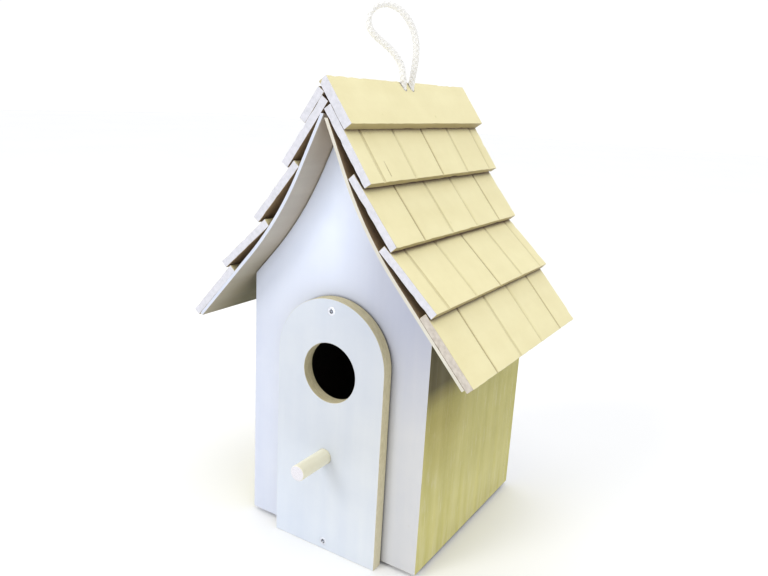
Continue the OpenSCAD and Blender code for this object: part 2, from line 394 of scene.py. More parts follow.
def brushGroup():
    # Cloudy tone and shallow brush ridges of hand-laid paint
    tree, given, result = makeGroup(
        "brushed paint",
        [("Vector", "NodeSocketVector", None), ("Scale", "NodeSocketFloat", 60.0)],
        [("Tone", "NodeSocketFloat"), ("Ridges", "NodeSocketFloat")],
    )
    cloudy = noiseOf(tree, given.outputs["Vector"], given.outputs["Scale"], 4.0, 0.6)
    ridged = noiseOf(
        tree, scaled(tree, given.outputs["Vector"], (1, 1, 0.08)),
        calc(tree, "MULTIPLY", given.outputs["Scale"], 14.0), 2.0,
    )
    pores = noiseOf(tree, given.outputs["Vector"], calc(tree, "MULTIPLY", given.outputs["Scale"], 30.0), 2.0)
    tree.links.new(between(tree, cloudy, 0.3, 0.7), result.inputs["Tone"])
    tree.links.new(summed(tree, (ridged, 0.7), (pores, 0.3)), result.inputs["Ridges"])
    return tree


def wearGroup():
    # 1 on rubbed arrises, broken up by noise
    tree, given, result = makeGroup(
        "edge wear",
        [("Vector", "NodeSocketVector", None), ("Radius", "NodeSocketFloat", 0.001),
         ("Amount", "NodeSocketFloat", 1.0)],
        [("Wear", "NodeSocketFloat")],
    )
    rounded = addNode(tree, "ShaderNodeBevel", {"samples": 4}, Radius=given.outputs["Radius"]).outputs[0]
    flat = addNode(tree, "ShaderNodeNewGeometry").outputs["Normal"]
    same = dotOf(tree, rounded, flat)
    patches = noiseOf(tree, given.outputs["Vector"], 220.0, 4.0, 0.7)
    edge = between(tree, same, 0.985, 0.86)
    broken = calc(tree, "MULTIPLY", edge, between(tree, patches, 0.42, 0.6))
    tree.links.new(calc(tree, "MULTIPLY", broken, given.outputs["Amount"], True), result.inputs["Wear"])
    return tree


def lapGroup():
    # 1 where a face looks along Direction: one paint lapping raggedly over an edge
    tree, given, result = makeGroup(
        "paint lap",
        [("Vector", "NodeSocketVector", None), ("Direction", "NodeSocketVector", None),
         ("Raggedness", "NodeSocketFloat", 0.5)],
        [("Lap", "NodeSocketFloat")],
    )
    flat = addNode(tree, "ShaderNodeNewGeometry").outputs["Normal"]
    facing = dotOf(tree, flat, given.outputs["Direction"])
    patches = noiseOf(tree, given.outputs["Vector"], 380.0, 4.0, 0.7)
    ragged = calc(tree, "MULTIPLY", calc(tree, "SUBTRACT", patches, 0.5), given.outputs["Raggedness"])
    tree.links.new(between(tree, calc(tree, "ADD", facing, ragged), 0.77, 0.85), result.inputs["Lap"])
    return tree


def speckGroup():
    # Sparse small specks: pin holes, knocks and dust
    tree, given, result = makeGroup(
        "specks",
        [("Vector", "NodeSocketVector", None), ("Scale", "NodeSocketFloat", 160.0),
         ("Share", "NodeSocketFloat", 0.12)],
        [("Speck", "NodeSocketFloat")],
    )
    cells = addNode(
        tree, "ShaderNodeTexVoronoi", {"feature": "F1"}, Vector=given.outputs["Vector"],
        Scale=given.outputs["Scale"],
    )
    lot = addNode(tree, "ShaderNodeSeparateColor", Color=cells.outputs["Color"]).outputs[0]
    chosen = calc(tree, "LESS_THAN", lot, given.outputs["Share"])
    near = between(tree, cells.outputs["Distance"], 0.16, 0.06)
    tree.links.new(calc(tree, "MULTIPLY", chosen, near), result.inputs["Speck"])
    return tree


def creviceShadeGroup():
    # 1 deep in grooves, along joints and under overhangs: the mask the finishes use to paint shade into their
    # colours
    tree, given, result = makeGroup(
        "crevice shade",
        [("Reach", "NodeSocketFloat", 0.002), ("Amount", "NodeSocketFloat", 1.0),
         ("Open", "NodeSocketFloat", 0.85), ("Shut", "NodeSocketFloat", 0.3)],
        [("Crevice", "NodeSocketFloat")],
    )
    clear = addNode(
        tree, "ShaderNodeAmbientOcclusion", {"samples": 6, "only_local": False},
        Distance=given.outputs["Reach"],
    ).outputs["AO"]
    paintedShadeMask = addNode(
        tree, "ShaderNodeMapRange", {"clamp": True},
        i0=clear, i1=given.outputs["Open"], i2=given.outputs["Shut"],
    ).outputs[0]
    tree.links.new(calc(tree, "MULTIPLY", paintedShadeMask, given.outputs["Amount"], True), result.inputs["Crevice"])
    return tree


groups = {
    "crevice": creviceShadeGroup(),
    "grain": grainGroup(),
    "brush": brushGroup(),
    "wear": wearGroup(),
    "lap": lapGroup(),
    "speck": speckGroup(),
}


def use(tree, name, **inputs):
    node = tree.nodes.new("ShaderNodeGroup")
    node.node_tree = groups[name]
    for key, value in inputs.items():
        if isinstance(value, bpy.types.NodeSocket):
            tree.links.new(value, node.inputs[key])
        else:
            node.inputs[key].default_value = value
    return node.outputs


def startMaterial(name, grainTurn=(0, 0, 0), **fixed):
    # An empty Principled material and the coordinates with the grain along Z
    material = bpy.data.materials.new(name)
    material.use_nodes = True
    tree = material.node_tree
    tree.nodes.clear()
    shader = tree.nodes.new("ShaderNodeBsdfPrincipled")
    output = tree.nodes.new("ShaderNodeOutputMaterial")
    tree.links.new(shader.outputs[0], output.inputs["Surface"])
    for key, value in fixed.items():
        shader.inputs[key.replace("_", " ")].default_value = value
    turned = addNode(tree, "ShaderNodeMapping", Vector=objectPlace(tree), Rotation=grainTurn).outputs[0]
    return material, tree, shader, turned


def finishMaterial(tree, shader, colour, roughness, height, depth, strength=1.0):
    tree.links.new(colour, shader.inputs["Base Color"])
    tree.links.new(roughness, shader.inputs["Roughness"])
    bump = addNode(tree, "ShaderNodeBump", Height=height, Strength=strength, Distance=depth)
    tree.links.new(bump.outputs[0], shader.inputs["Normal"])


alongY = (math.radians(90), 0, 0)

# Colours of the finishes, linear: a darker and a lighter one each
finishes = {
    "white": ((0.57, 0.61, 0.73), (0.65, 0.68, 0.77)),
    "gableLightWhite": ((0.74, 0.80, 0.95), (0.81, 0.86, 0.98)),
    "butter": ((0.78, 0.70, 0.39), (0.86, 0.79, 0.48)),
    "boardEnd": ((0.57, 0.57, 0.61), (0.67, 0.66, 0.71)),
    "sawnEnd": ((0.45, 0.395, 0.335), (0.60, 0.545, 0.475)),
    "lowEndShade": ((0.33, 0.265, 0.115), (0.45, 0.375, 0.19)),
    "khaki": ((0.52, 0.48, 0.155), (0.71, 0.66, 0.28)),
    "khakiShade": ((0.10, 0.082, 0.032), (0.155, 0.132, 0.062)),
    "sheetCream": ((0.58, 0.545, 0.46), (0.68, 0.645, 0.56)),
    "edge": ((0.55, 0.49, 0.28), (0.78, 0.72, 0.50)),
    "bare": ((0.60, 0.47, 0.29), (0.76, 0.65, 0.45)),
    "taupe": ((0.44, 0.40, 0.345), (0.56, 0.52, 0.45)),
    "olive": ((0.11, 0.10, 0.05), (0.18, 0.165, 0.09)),
    "cream": ((0.78, 0.74, 0.55), (0.87, 0.84, 0.68)),
    "rope": ((0.82, 0.805, 0.78), (0.91, 0.90, 0.885)),
    "groove": ((0.27, 0.205, 0.075), (0.36, 0.28, 0.11)),
    "brown": ((0.24, 0.165, 0.095), (0.36, 0.26, 0.155)),
    "umber": ((0.13, 0.075, 0.055), (0.22, 0.135, 0.10)),
    "inside": ((0.06, 0.055, 0.05), (0.10, 0.09, 0.08)),
    "sawnDowel": ((0.62, 0.59, 0.62), (0.80, 0.78, 0.82)),
    "zinc": ((0.66, 0.68, 0.73), (0.82, 0.83, 0.87)),
}
# Tints that multiply a finish, and single colours
tints = {
    "sideShadeLow": (0.93, 0.88, 0.77),
    "sideShadeHigh": (0.71, 0.70, 0.73),
    "plateFloorLight": (1.05, 1.07, 1.03),
    "plateHighShade": (0.95, 0.955, 0.9),
    "khakiHalfShade": (0.83, 0.79, 0.66),
    "khakiFloorLight": (0.68, 0.64, 0.34),
    "sheetFootShade": (0.77, 0.75, 0.66),
    "zincWorn": (0.8, 0.8, 0.82),
}
# Where the finishes change, in metres: each mask grows from the first place to the second
zones = {
    "sideShadeAcross": (-0.05, 0.055),
    "sideShadeUp": (0.09, 0.16),
    "gableUp": (0.135, 0.205),
    "gableAcross": (0.03, -0.005),
    "plateFoot": (0.08, 0.0),
    "plateUp": (0.01, 0.08),
    "eavesUp": (0.03, 0.125),
    "shadowUp": (0.104, 0.121),
    "shadowAlong": (0.05, -0.02),
    "halfShadeUp": (0.05, 0.095),
    "halfShadeAlong": (0.0, -0.045),
    "khakiFloorLight": (0.075, 0.0),
    "sheetDown": (0.2, 0.165),
    "underAlong": (-0.092, -0.058),
    "underAcross": (0.045, 0.07),
}


def paintedShadeAndGableLight(tree, place, colour, amount):
    # Painted shade: the white turns greyer towards the right of the house, most of all higher up; painted
    # light: lighter and bluer in the gable
    x, _, z = axesOf(tree, place)
    share = calc(tree, "MULTIPLY", between(tree, x, *zones["sideShadeAcross"]), amount)
    tint = blendColour(tree, between(tree, z, *zones["sideShadeUp"]), tints["sideShadeLow"], tints["sideShadeHigh"])
    sideShaded = tinted(tree, share, colour, tint)
    gable = between(tree, z, *zones["gableUp"])
    high = calc(tree, "MULTIPLY", gable, between(tree, x, *zones["gableAcross"]))
    high = calc(tree, "MULTIPLY", high, amount)
    cool = blendColour(tree, noiseOf(tree, place, 60.0), *finishes["gableLightWhite"])
    return blendColour(tree, high, sideShaded, cool)


def whitePaint(name, turn=(0, 0, 0), paintedShading=1.0, colours=finishes["white"]):
    material, tree, shader, at = startMaterial(name, turn)
    grain = use(tree, "grain", Vector=at, Scale=420.0)
    brush = use(tree, "brush", Vector=at, Scale=34.0)
    speck = use(tree, "speck", Vector=at, Scale=120.0, Share=0.05)["Speck"]
    wear = use(tree, "wear", Vector=at, Radius=0.9 * mm, Amount=0.55)["Wear"]
    colour = blendColour(tree, summed(tree, (grain["Streak"], 0.55), (brush["Tone"], 0.45)), *colours)
    # Painted shade towards the right and painted light in the gable
    colour = paintedShadeAndGableLight(tree, objectPlace(tree), colour, paintedShading)
    # Painted shade: the white darkens to near black in gaps and corners
    paintedShadeMask = use(tree, "crevice", Reach=2.5 * mm, Amount=0.8)["Crevice"]
    colour = blendColour(tree, paintedShadeMask, colour, finishes["inside"][1])
    colour = blendColour(tree, wear, colour, finishes["edge"][1])
    colour = blendColour(tree, calc(tree, "MULTIPLY", speck, 0.25), colour, finishes["taupe"][0])
    rough = between(tree, brush["Tone"], 0.0, 1.0, 0.36, 0.5)
    height = summed(tree, (grain["Fibre"], 0.6), (brush["Ridges"], 0.4))
    finishMaterial(tree, shader, colour, rough, height, 0.12 * mm, 0.5)
    return material


def platePaint():
    # White on the faces, bare fibreboard on the edges and in the hole
    material, tree, shader, at = startMaterial("plateFinish")
    grain = use(tree, "grain", Vector=at, Scale=380.0)
    brush = use(tree, "brush", Vector=at, Scale=30.0)
    lap = use(tree, "lap", Vector=at, Direction=(0, -1, 0), Raggedness=0.35)["Lap"]
    layers = noiseOf(tree, scaled(tree, at, (0.25, 3.0, 0.25)), 900.0, 4.0, 0.7)
    fibres = noiseOf(tree, at, 2600.0, 3.0, 0.7)
    z = axesOf(tree, at)[2]
    edge = blendColour(tree, between(tree, layers, 0.36, 0.64), *finishes["edge"])
    # The raw edges turn paler cream towards the foot
    edge = blendColour(tree, between(tree, z, *zones["plateFoot"], 0.0, 0.4), edge, finishes["cream"][1])
    edge = blendColour(tree, between(tree, fibres, 0.45, 0.7, 0.0, 0.5), edge, finishes["bare"][0])
    face = blendColour(tree, summed(tree, (grain["Streak"], 0.5), (brush["Tone"], 0.5)), *finishes["white"])
    # Painted shade: the face greys towards the right, as on the front panel
    face = paintedShadeAndGableLight(tree, at, face, 0.45)
    # Painted light from the floor low down, painted shade higher up
    tint = blendColour(tree, between(tree, z, *zones["plateUp"]), tints["plateFloorLight"], tints["plateHighShade"])
    colour = blendColour(tree, lap, edge, tinted(tree, 1.0, face, tint))
    rough = between(tree, lap, 0.0, 1.0, 0.85, 0.4)
    painted = calc(tree, "MULTIPLY", lap, calc(tree, "MULTIPLY", brush["Ridges"], 0.35))
    rawEdge = calc(tree, "MULTIPLY", calc(tree, "SUBTRACT", 1.0, lap), calc(tree, "ADD", layers, fibres))
    finishMaterial(tree, shader, colour, rough, calc(tree, "ADD", painted, rawEdge), 0.22 * mm, 0.7)
    return material


def boardPaint(name, endColours):
    # Butter paint, paler on the front and back ends, rubbed on the arrises; painted shade in grooves and
    # under steps
    material, tree, shader, at = startMaterial(name, alongY)
    plain = objectPlace(tree)
    grain = use(tree, "grain", Vector=at, Scale=360.0)
    brush = use(tree, "brush", Vector=at, Scale=42.0)
    front = use(tree, "lap", Vector=plain, Direction=(0, -1, 0), Raggedness=0.25)["Lap"]
    back = use(tree, "lap", Vector=plain, Direction=(0, 1, 0), Raggedness=0.25)["Lap"]
    speck = use(tree, "speck", Vector=plain, Scale=130.0, Share=0.07)["Speck"]
    wear = use(tree, "wear", Vector=plain, Radius=0.8 * mm, Amount=0.8)["Wear"]
    tone = summed(tree, (grain["Streak"], 0.3), (brush["Tone"], 0.7))
    colour = blendColour(tree, tone, *finishes["butter"])
    colour = blendColour(tree, calc(tree, "MULTIPLY", wear, 0.6), colour, finishes["cream"][1])
    colour = blendColour(tree, calc(tree, "MULTIPLY", speck, 0.35), colour, finishes["khaki"][0])
    facing = axesOf(tree, addNode(tree, "ShaderNodeNewGeometry").outputs["Normal"])
    # Painted shade: darker groove sides, then grooves and steps, then a painted shadow in the tight corner
    # under a step
    wall = between(tree, calc(tree, "ABSOLUTE", facing[1]), 0.3, 0.62, 0.0, 0.5)
    colour = blendColour(tree, wall, colour, finishes["groove"][1])
    crevice = use(tree, "crevice", Reach=3.4 * mm, Amount=0.92, Open=0.86, Shut=0.4)["Crevice"]
    colour = blendColour(tree, crevice, colour, finishes["groove"][0])
    stepShadow = use(tree, "crevice", Reach=4.5 * mm, Amount=0.95, Open=0.7, Shut=0.58)["Crevice"]
    colour = blendColour(tree, stepShadow, colour, finishes["umber"][0])
    # Painted shade on the faces that look down the slope
    downFacingShade = between(tree, facing[2], -0.42, -0.6)
    colour = blendColour(tree, downFacingShade, colour, blendColour(tree, grain["Streak"], *finishes["lowEndShade"]))
    sawn = noiseOf(tree, scaled(tree, plain, (1, 0.2, 1)), 420.0, 3.0, 0.6)
    ends = blendColour(tree, between(tree, sawn, 0.3, 0.65), *endColours)
    colour = blendColour(tree, calc(tree, "MAXIMUM", front, back), colour, ends)
    rough = between(tree, brush["Tone"], 0.0, 1.0, 0.5, 0.68)
    height = summed(tree, (grain["Fibre"], 0.45), (brush["Ridges"], 0.55))
    finishMaterial(tree, shader, colour, rough, height, 0.16 * mm, 0.55)
    return material


def khakiWash():
    # Thin yellow-green wash with the grain showing through; painted shade darkens it under the eaves, painted
    # light makes it paler at the foot
    material, tree, shader, at = startMaterial("khakiWash", Specular_IOR_Level=0.15)
    grain = use(tree, "grain", Vector=at, Scale=330.0)
    brush = use(tree, "brush", Vector=at, Scale=26.0)
    pale = use(tree, "grain", Vector=scaled(tree, at, (1, 1, 1.6)), Scale=900.0)
    wear = use(tree, "wear", Vector=at, Radius=1.0 * mm, Amount=0.6)["Wear"]
    colour = blendColour(tree, summed(tree, (grain["Streak"], 0.6), (brush["Tone"], 0.4)), *finishes["khaki"])
    thin = between(tree, pale["Fibre"], 0.62, 1.0, 0.0, 0.45)
    colour = blendColour(tree, thin, colour, finishes["cream"][0])
    colour = blendColour(tree, calc(tree, "MULTIPLY", wear, 0.5), colour, finishes["cream"][0])
    _, y, z = axesOf(tree, at)
    # Painted shade under the eaves, from an AO mask, only on the upper wall
    eaves = use(tree, "crevice", Reach=110 * mm, Amount=0.97, Open=0.98, Shut=0.56)["Crevice"]
    eaves = calc(tree, "MULTIPLY", eaves, between(tree, z, *zones["eavesUp"]))
    shadow = between(tree, z, *zones["shadowUp"], 0.0, 0.97)
    shadow = calc(tree, "MULTIPLY", shadow, between(tree, y, *zones["shadowAlong"]))
    # Painted half-shade: darker and browner in the middle of the wall towards the front
    brown = between(tree, z, *zones["halfShadeUp"])
    brown = calc(tree, "MULTIPLY", brown, between(tree, y, *zones["halfShadeAlong"]))
    colour = tinted(tree, brown, colour, tints["khakiHalfShade"])
    # Painted light from the floor: paler towards the foot of the wall, in streaks
    foot = between(tree, z, *zones["khakiFloorLight"], 0.0, 0.6)
    foot = calc(tree, "MULTIPLY", foot, between(tree, pale["Streak"], 0.2, 0.8))
    colour = blendColour(tree, foot, colour, tints["khakiFloorLight"])
    shade = blendColour(tree, grain["Streak"], *finishes["khakiShade"])
    colour = blendColour(tree, calc(tree, "MAXIMUM", eaves, shadow), colour, shade)
    rough = between(tree, grain["Fibre"], 0.0, 1.0, 0.48, 0.66)
    height = summed(tree, (grain["Fibre"], 0.7), (brush["Ridges"], 0.3))
    finishMaterial(tree, shader, colour, rough, height, 0.18 * mm, 0.7)
    return material


def woodFinish(name, colours, turn=(0, 0, 0), scale=380.0, rough=(0.6, 0.8), depth=0.2 * mm, shade=None):
    # shade: colours of painted shade that take over towards the back of the eaves
    material, tree, shader, at = startMaterial(name, turn)
    grain = use(tree, "grain", Vector=at, Scale=scale)
    brush = use(tree, "brush", Vector=at, Scale=40.0)
    tone = summed(tree, (grain["Streak"], 0.5), (grain["Fibre"], 0.3), (brush["Tone"], 0.2))
    colour = blendColour(tree, tone, *colours)
    if shade:
        # Painted shade: browner where the eaves close in, darker low down, olive towards the back outside the
        # walls
        paintedShadeMask = use(tree, "crevice", Reach=25 * mm, Amount=0.5)["Crevice"]
        colour = blendColour(tree, paintedShadeMask, colour, finishes["brown"][1])
        x, y, z = axesOf(tree, objectPlace(tree))
        colour = tinted(tree, between(tree, z, *zones["sheetDown"]), colour, tints["sheetFootShade"])
        aside = between(tree, calc(tree, "ABSOLUTE", x), *zones["underAcross"])
        behind = calc(tree, "MULTIPLY", between(tree, y, *zones["underAlong"]), aside)
        colour = blendColour(tree, behind, colour, blendColour(tree, tone, *shade))
    height = calc(tree, "ADD", grain["Fibre"], calc(tree, "MULTIPLY", brush["Ridges"], 0.3))
    finishMaterial(tree, shader, colour, between(tree, grain["Fibre"], 0.0, 1.0, *rough), height, depth, 0.6)
    return material


def perchFinish():
    # Cream paint along the dowel, a paler sawn end
    material, tree, shader, at = startMaterial("perchFinish", alongY)
    plain = objectPlace(tree)
    grain = use(tree, "grain", Vector=at, Scale=500.0)
    end = use(tree, "lap", Vector=plain, Direction=(0, -1, 0), Raggedness=0.3)["Lap"]
    pores = noiseOf(tree, plain, 1800.0, 3.0, 0.7)
    colour = blendColour(tree, grain["Streak"], *finishes["cream"])
    sawn = blendColour(tree, between(tree, pores, 0.35, 0.65), *finishes["sawnDowel"])
    colour = blendColour(tree, end, colour, sawn)
    rough = between(tree, grain["Fibre"], 0.0, 1.0, 0.5, 0.7)
    height = calc(tree, "ADD", grain["Fibre"], calc(tree, "MULTIPLY", end, pores))
    finishMaterial(tree, shader, colour, rough, height, 0.15 * mm, 0.6)
    return material


def ropeFinish():
    # White fibres, slightly soiled, with painted shade between the strands
    material, tree, shader, at = startMaterial("ropeFibre", Sheen_Weight=0.25, Sheen_Roughness=0.5)
    fibres = noiseOf(tree, at, 1500.0, 3.0, 0.6)
    tone = summed(tree, (fibres, 0.5), (noiseOf(tree, at, 140.0, 3.0, 0.6), 0.5))
    colour = blendColour(tree, between(tree, tone, 0.35, 0.6), *finishes["rope"])
    # Painted shade between the strands
    paintedShadeMask = use(tree, "crevice", Reach=6 * mm, Amount=0.4, Open=0.8, Shut=0.3)["Crevice"]
    colour = blendColour(tree, paintedShadeMask, colour, finishes["taupe"][0])
    finishMaterial(tree, shader, colour, between(tree, fibres, 0.0, 1.0, 0.7, 0.95), fibres, 0.05 * mm, 0.3)
    return material


def zincFinish():
    material, tree, shader, at = startMaterial("zincPlate", Metallic=1.0)
    spangle = noiseOf(tree, at, 900.0, 3.0, 0.6)
    wear = use(tree, "wear", Vector=at, Radius=0.2 * mm, Amount=0.8)["Wear"]
    colour = blendColour(tree, spangle, *finishes["zinc"])
    colour = blendColour(tree, wear, colour, tints["zincWorn"])
    rough = between(tree, spangle, 0.3, 0.7, 0.28, 0.48)
    finishMaterial(tree, shader, colour, rough, spangle, 0.05 * mm, 0.5)
    return material


materials = {
    "panel": whitePaint("panelPaint"),
    "sheetEdge": whitePaint("sheetEdgePaint", alongY, 0.0),
    "creamEdge": whitePaint("creamEdgePaint", alongY, 0.0, finishes["sheetCream"]),
    "plate": platePaint(),
    "board": boardPaint("boardFinish", finishes["boardEnd"]),
    "lowBoard": boardPaint("lowBoardFinish", finishes["sawnEnd"]),
    "khaki": khakiWash(),
    "floor": woodFinish("floorWood", finishes["bare"], alongY),
    "under": woodFinish(
        "sheetUnderside", finishes["taupe"], alongY, 260.0, (0.55, 0.75), 0.1 * mm, finishes["olive"]),
    # Brown of the bare board undersides, darkened into painted shade for the gaps, darker still on the right
    "boardBackLeft": woodFinish("leftBoardUndersideShade", finishes["brown"], alongY),
    "boardBackRight": woodFinish("rightBoardUndersideShade", finishes["umber"], alongY),
    "hardboard": woodFinish("sheetTop", finishes["brown"], alongY, 300.0),
    # Painted shade: bare wood inside the house, darkened nearly to black
    "inside": woodFinish("insideWood", finishes["inside"]),
    "perch": perchFinish(),
    "rope": ropeFinish(),
    "zinc": zincFinish(),
}
for ropeLike in (ropePiece, knotPiece):
    ropeLike.data.materials.clear()
    ropeLike.data.materials.append(materials["rope"])
print("materials ready:", len(materials))


# Walls, floor and roof sheets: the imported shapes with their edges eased
walls = {"arris": 0.45 * mm, "segments": 3, "sheetArris": 0.3 * mm}


def makeWall(name, node, used, rules, arris):
    bm = nodeCopy(node)
    easeEdges(bm, arris, walls["segments"], sharpEdges(bm))
    piece = newPiece(name, bm, "house", [node])
    paintFaces(piece, [materials[m] for m in used], rules)
    return piece


def sheetRules(inward):
    # Edge paint on the front and back ends, then the underside, then the hidden top
    return [
        (0, (0, -1, 0), 0.6), (0, (0, 1, 0), 0.6),
        (1, (inward, 0, -0.8), 0.6), (2, (-0.8 * inward, 0, 0.6), 0.8),
    ]


sideRules = [(1, (1, 0, 0), 0.6), (1, (-1, 0, 0), 0.6)]
makeWall("frontPanel", "front_panel", ["panel", "khaki", "inside"],
         [(0, (0, -1, 0), 0.3), (2, (0, 1, 0), 0.6)] + sideRules, walls["arris"])
makeWall("backPanel", "back_panel", ["panel", "khaki", "inside"],
         [(0, (0, 1, 0), 0.3), (2, (0, -1, 0), 0.6)] + sideRules, walls["arris"])
makeWall("rightWall", "right_side", ["khaki", "inside"],
         [(1, (-1, 0, 0), 0.6), (1, (0, 0, -1), 0.8)], walls["arris"])
makeWall("leftWall", "left_side", ["khaki", "inside"],
         [(1, (1, 0, 0), 0.6), (1, (0, 0, -1), 0.8)], walls["arris"])
makeWall("floorBoard", "floor_board", ["floor"], [], walls["arris"])
makeWall("roofSheetRight", "roof_sheet_right", ["creamEdge", "under", "hardboard"],
         sheetRules(-1), walls["sheetArris"])
makeWall("roofSheetLeft", "roof_sheet_left", ["sheetEdge", "under", "hardboard"],
         sheetRules(1), walls["sheetArris"])
print("walls and sheets made")


# Shingle boards and ridge caps
boards = {
    "slopes": {"1": 54.5, "2": 50.5, "3": 42, "4": 48},
    "leftCapSlope": 54.5,
    "rightCapSlope": 53.7,
    "arris": 0.35 * mm,
    "nose": 2.2 * mm,
    "cellAlong": 4.0 * mm,
    "cellDown": 3.2 * mm,
    "noseSegments": 5,
    "arrisSegments": 3,
    "wave": 0.14 * mm,
    "waveFrequency": 28,
    "chip": 0.7 * mm,
    "chipLength": 5 * mm,
    "sawn": 0.18 * mm,
    "endFrequency": 420,
    "lipFrequency": 180,
    "scratch": {"node": "shingle_right_1", "along": 23.5 * mm, "from": 36 * mm, "to": 46 * mm,
                "width": 0.7 * mm, "depth": 0.6 * mm},
}


def cutAcross(bm, axis, places):
    for at in places:
        co, no = Vector(), Vector()
        co[axis], no[axis] = at, 1
        bmesh.ops.bisect_plane(
            bm, geom=bm.verts[:] + bm.edges[:] + bm.faces[:], dist=0.001 * mm, plane_co=co, plane_no=no
        )


def evenPlaces(low, high, step):
    count = max(1, round((high - low) / step))
    return [low + (high - low) * i / count for i in range(1, count)]


def layFlat(bm, slope, left):
    # Into the board's own frame: X down the slope, Y along the roof, Z out of the roof
    if left:
        bmesh.ops.scale(bm, vec=(-1, 1, 1), verts=bm.verts)
        bmesh.ops.reverse_faces(bm, faces=bm.faces)
    bmesh.ops.rotate(bm, cent=(0, 0, 0), matrix=Matrix.Rotation(math.radians(-slope), 3, "Y"), verts=bm.verts)


def layOnRoof(bm, slope, left):
    bmesh.ops.rotate(bm, cent=(0, 0, 0), matrix=Matrix.Rotation(math.radians(slope), 3, "Y"), verts=bm.verts)
    if left:
        bmesh.ops.scale(bm, vec=(-1, 1, 1), verts=bm.verts)
        bmesh.ops.reverse_faces(bm, faces=bm.faces)


def weather(bm, low, high, b, seed):
    # Chipped arrises, a slightly wavy face and saw-cut ends
    away = Vector((seed * 3.7, seed * 1.3, seed * 2.1))
    for v in bm.verts:
        p = v.co.copy()
        gaps = [min(p[k] - low[k], high[k] - p[k]) for k in range(3)]
        order = sorted(range(3), key=lambda k: gaps[k])
        if gaps[order[1]] < 1.2 * b["arris"]:
            bite = max(0.0, noise.noise(p / b["chipLength"] + away) - 0.12) * b["chip"]
            for k in order[:2]:
                v.co[k] += bite if p[k] < (low[k] + high[k]) / 2 else -bite
        v.co.z += b["wave"] * (noise.noise(p * b["waveFrequency"] + away) - 0.3)
        if gaps[1] < 0.2 * mm:
            inward = abs(noise.noise(p * b["endFrequency"] + away)) * b["sawn"]
            v.co.y += inward if p.y < 0 else -inward
        if high.x - p.x < 0.2 * mm:
            v.co.x -= abs(noise.noise(p * b["lipFrequency"] + away)) * b["sawn"]


def cutScratch(bm, low, high, scratch):
    # One short knife cut down the slope
    at = low.y + scratch["along"]
    cutAcross(bm, 1, [at - scratch["width"] / 2, at, at + scratch["width"] / 2])
    cutAcross(bm, 0, [low.x + scratch["from"], low.x + scratch["to"]])
    for v in bm.verts:
        onLine = abs(v.co.y - at) < 0.05 * mm and v.co.z > high.z - 0.2 * mm
        if onLine and scratch["from"] < v.co.x - low.x < scratch["to"]:
            v.co.z -= scratch["depth"]


def makeBoard(name, node, slope, seed, nose=False):
    left = "left" in node
    bm = nodeCopy(node)
    layFlat(bm, slope, left)
    low = Vector([min(v.co[k] for v in bm.verts) for k in range(3)])
    high = Vector([max(v.co[k] for v in bm.verts) for k in range(3)])
    if nose:
        top = [
            e for e in sharpEdges(bm)
            if all(v.co.x < low.x + 0.1 * mm and v.co.z > high.z - 0.1 * mm for v in e.verts)
        ]
        easeEdges(bm, boards["nose"], boards["noseSegments"], top)
    easeEdges(bm, boards["arris"], boards["arrisSegments"], sharpEdges(bm, 60))
    cutAcross(bm, 1, evenPlaces(low.y, high.y, boards["cellAlong"]))
    cutAcross(bm, 0, evenPlaces(low.x, high.x, boards["cellDown"]))
    if node == boards["scratch"]["node"]:
        cutScratch(bm, low, high, boards["scratch"])
    weather(bm, low, high, boards, seed)
    layOnRoof(bm, slope, left)
    piece = newPiece(name, bm, "house", [node])
    inward = (1 if left else -1) * math.sin(math.radians(slope))
    paintFaces(
        piece, [materials["lowBoard" if node == "shingle_right_4" else "board"],
                materials["boardBackLeft" if left else "boardBackRight"]],
        [(1, (inward, 0, -math.cos(math.radians(slope))), 0.9)],
    )
    return piece


for sideNumber, side in enumerate(("left", "right")):
    for row, slope in boards["slopes"].items():
        makeBoard(side + "Row" + row, f"shingle_{side}_{row}", slope, int(row) + 4 * sideNumber)
makeBoard("leftCap", "ridge_cap_left", boards["leftCapSlope"], 11)
makeBoard("rightCap", "ridge_cap_right", boards["rightCapSlope"], 12, nose=True)
print("shingle boards made")


# Clean-out plate with the entrance hole
plate = {
    "arris": 0.5 * mm,
    "segments": 3,
}


def makePlate(settings):
    bm = nodeCopy("front_plate")
    easeEdges(bm, settings["arris"], settings["segments"], sharpEdges(bm))
    piece = newPiece("entrancePlate", bm, "cover", ["front_plate"])
    piece.data.materials.append(materials["plate"])
    return piece


makePlate(plate)

# Perch dowel
perch = {"sides": 48, "chamfer": 0.7 * mm, "wobble": 0.05 * mm, "rings": 14}


def makePerch(settings):
    low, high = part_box("perch")
    radius, length = (high.x - low.x) / 2 - settings["wobble"], high.y - low.y
    bm = bmesh.new()
    bmesh.ops.create_cone(
        bm, cap_ends=True, cap_tris=False, segments=settings["sides"], radius1=radius, radius2=radius,
        depth=length, matrix=Matrix.Translation((0, 0, length / 2)),
    )
    rim = [e for e in sharpEdges(bm, 60) if all(v.co.z > length / 2 for v in e.verts)]
    easeEdges(bm, settings["chamfer"], 4, rim)
    cutAcross(bm, 2, evenPlaces(0, length - 2 * settings["chamfer"], length / settings["rings"]))
    for v in bm.verts:
        out = Vector((v.co.x, v.co.y, 0))
        if out.length > 0.5 * radius:
            v.co += out.normalized() * noise.noise(v.co * 260) * settings["wobble"]
    bmesh.ops.rotate(bm, cent=(0, 0, 0), matrix=Matrix.Rotation(math.radians(90), 3, "X"), verts=bm.verts)
    bmesh.ops.translate(bm, vec=((low.x + high.x) / 2, high.y, (low.z + high.z) / 2), verts=bm.verts)
    piece = newPiece("perchDowel", bm, "cover", ["perch"])
    piece.data.materials.append(materials["perch"])


makePerch(perch)
print("plate and perch made")

